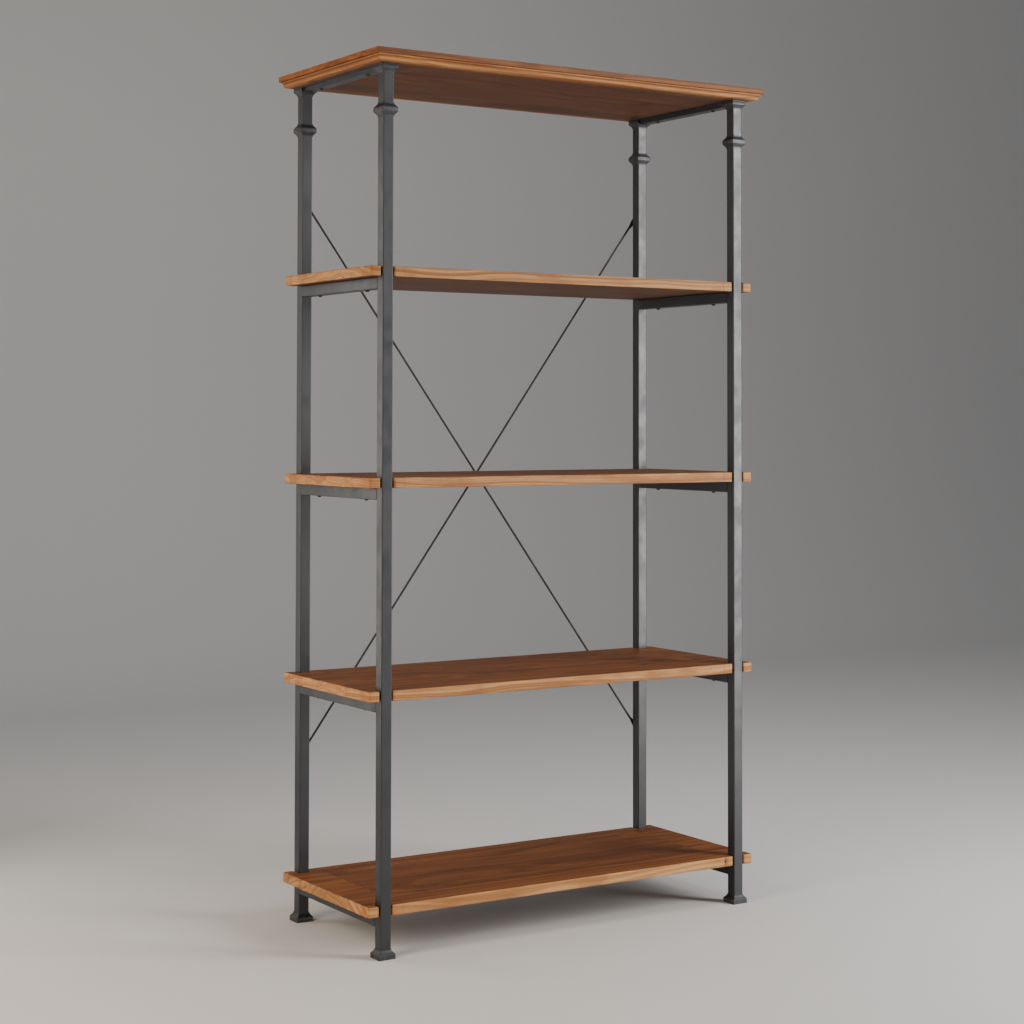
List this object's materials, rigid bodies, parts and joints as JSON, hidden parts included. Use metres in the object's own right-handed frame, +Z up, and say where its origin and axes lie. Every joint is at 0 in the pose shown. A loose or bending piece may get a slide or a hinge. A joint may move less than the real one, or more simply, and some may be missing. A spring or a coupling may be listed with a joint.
{
  "type": "bookcase",
  "caption": "Tall open bookcase: notched wooden shelves and a moulded top board on ladder-shaped metal side frames, with crossed brace rods at the back and screw-out levelling feet.",
  "frame": {"origin": "on the floor, under the middle of the top board", "axes": "+X to the right as seen from the front, +Y towards the back, +Z up"},
  "size_m": [1.0286, 0.47, 1.897],
  "materials": {
    "frame_paint": "satin charcoal powder coat",
    "casting_paint": "satin charcoal powder coat on a casting",
    "shelf_wood": "stained and hand-worn, satin",
    "shelf_end_wood": "stained and hand-worn, satin",
    "top_wood": "stained and hand-worn, satin",
    "moulding_wood": "stained, lighter on the edges, satin",
    "underside_wood": "stained, matte",
    "zinc_steel": "zinc plated",
    "black_steel": "black oxide",
    "insert_brass": "as turned",
    "glide_nylon": "moulded nylon"
  },
  "bodies": {
    "frame": {"front_left_post": "frame_paint", "front_left_foot": "casting_paint", "front_left_cap": "casting_paint", "front_left_collar": "casting_paint", "rear_left_post": "frame_paint", "rear_left_foot": "casting_paint", "rear_left_cap": "casting_paint", "rear_left_collar": "casting_paint", "left_rung_1": "frame_paint", "shelf_1_left_end": "shelf_end_wood", "left_rung_2": "frame_paint", "shelf_2_left_end": "shelf_end_wood", "left_rung_3": "frame_paint", "shelf_3_left_end": "shelf_end_wood", "left_rung_4": "frame_paint", "shelf_4_left_end": "shelf_end_wood", "left_top_rail": "frame_paint", "front_right_post": "frame_paint", "front_right_foot": "casting_paint", "front_right_cap": "casting_paint", "front_right_collar": "casting_paint", "rear_right_post": "frame_paint", "rear_right_foot": "casting_paint", "rear_right_cap": "casting_paint", "rear_right_collar": "casting_paint", "right_rung_1": "frame_paint", "shelf_1_right_end": "shelf_end_wood", "right_rung_2": "frame_paint", "shelf_2_right_end": "shelf_end_wood", "right_rung_3": "frame_paint", "shelf_3_right_end": "shelf_end_wood", "right_rung_4": "frame_paint", "shelf_4_right_end": "shelf_end_wood", "right_top_rail": "frame_paint", "shelf_1_panel": "shelf_wood", "shelf_2_panel": "shelf_wood", "shelf_3_panel": "shelf_wood", "shelf_4_panel": "shelf_wood", "top_slab": "top_wood", "top_underpanel": "underside_wood", "falling_brace_rod": "frame_paint", "rising_brace_rod": "frame_paint", "brace_rivet_nuts": "zinc_steel", "brace_spacers": "zinc_steel", "brace_screws": "black_steel", "shelf_screws": "black_steel", "top_screws": "black_steel", "threaded_inserts": "insert_brass", "top_front_moulding": "moulding_wood", "top_right_moulding": "moulding_wood", "top_back_moulding": "moulding_wood", "top_left_moulding": "moulding_wood"},
    "front_left_pad": {"front_left_glide_pad": "glide_nylon"},
    "front_left_stud": {"front_left_glide_stud": "zinc_steel"},
    "front_right_pad": {"front_right_glide_pad": "glide_nylon"},
    "front_right_stud": {"front_right_glide_stud": "zinc_steel"},
    "rear_left_pad": {"rear_left_glide_pad": "glide_nylon"},
    "rear_left_stud": {"rear_left_glide_stud": "zinc_steel"},
    "rear_right_pad": {"rear_right_glide_pad": "glide_nylon"},
    "rear_right_stud": {"rear_right_glide_stud": "zinc_steel"}
  },
  "joints": [
    {"name": "front_left_pad_travel", "type": "slide", "parent": "frame", "child": "front_left_pad", "axis": [0, 0, -1], "range_m": [0, 0.01]},
    {"name": "front_left_stud_turn", "type": "hinge", "parent": "front_left_pad", "child": "front_left_stud", "pos_m": [-0.4669, -0.1825, 0], "axis": [0, 0, -1], "range_deg": [0, 2880]},
    {"name": "front_right_pad_travel", "type": "slide", "parent": "frame", "child": "front_right_pad", "axis": [0, 0, -1], "range_m": [0, 0.01]},
    {"name": "front_right_stud_turn", "type": "hinge", "parent": "front_right_pad", "child": "front_right_stud", "pos_m": [0.4669, -0.1825, 0], "axis": [0, 0, -1], "range_deg": [0, 2880]},
    {"name": "rear_left_pad_travel", "type": "slide", "parent": "frame", "child": "rear_left_pad", "axis": [0, 0, -1], "range_m": [0, 0.01]},
    {"name": "rear_left_stud_turn", "type": "hinge", "parent": "rear_left_pad", "child": "rear_left_stud", "pos_m": [-0.4669, 0.1955, 0], "axis": [0, 0, -1], "range_deg": [0, 2880]},
    {"name": "rear_right_pad_travel", "type": "slide", "parent": "frame", "child": "rear_right_pad", "axis": [0, 0, -1], "range_m": [0, 0.01]},
    {"name": "rear_right_stud_turn", "type": "hinge", "parent": "rear_right_pad", "child": "rear_right_stud", "pos_m": [0.4669, 0.1955, 0], "axis": [0, 0, -1], "range_deg": [0, 2880]}
  ],
  "couplings": [
    {"joint": "front_left_stud_turn", "follows": "front_left_pad_travel", "rad_per_m": 5026.5},
    {"joint": "front_right_stud_turn", "follows": "front_right_pad_travel", "rad_per_m": 5026.5},
    {"joint": "rear_left_stud_turn", "follows": "rear_left_pad_travel", "rad_per_m": 5026.5},
    {"joint": "rear_right_stud_turn", "follows": "rear_right_pad_travel", "rad_per_m": 5026.5}
  ]
}
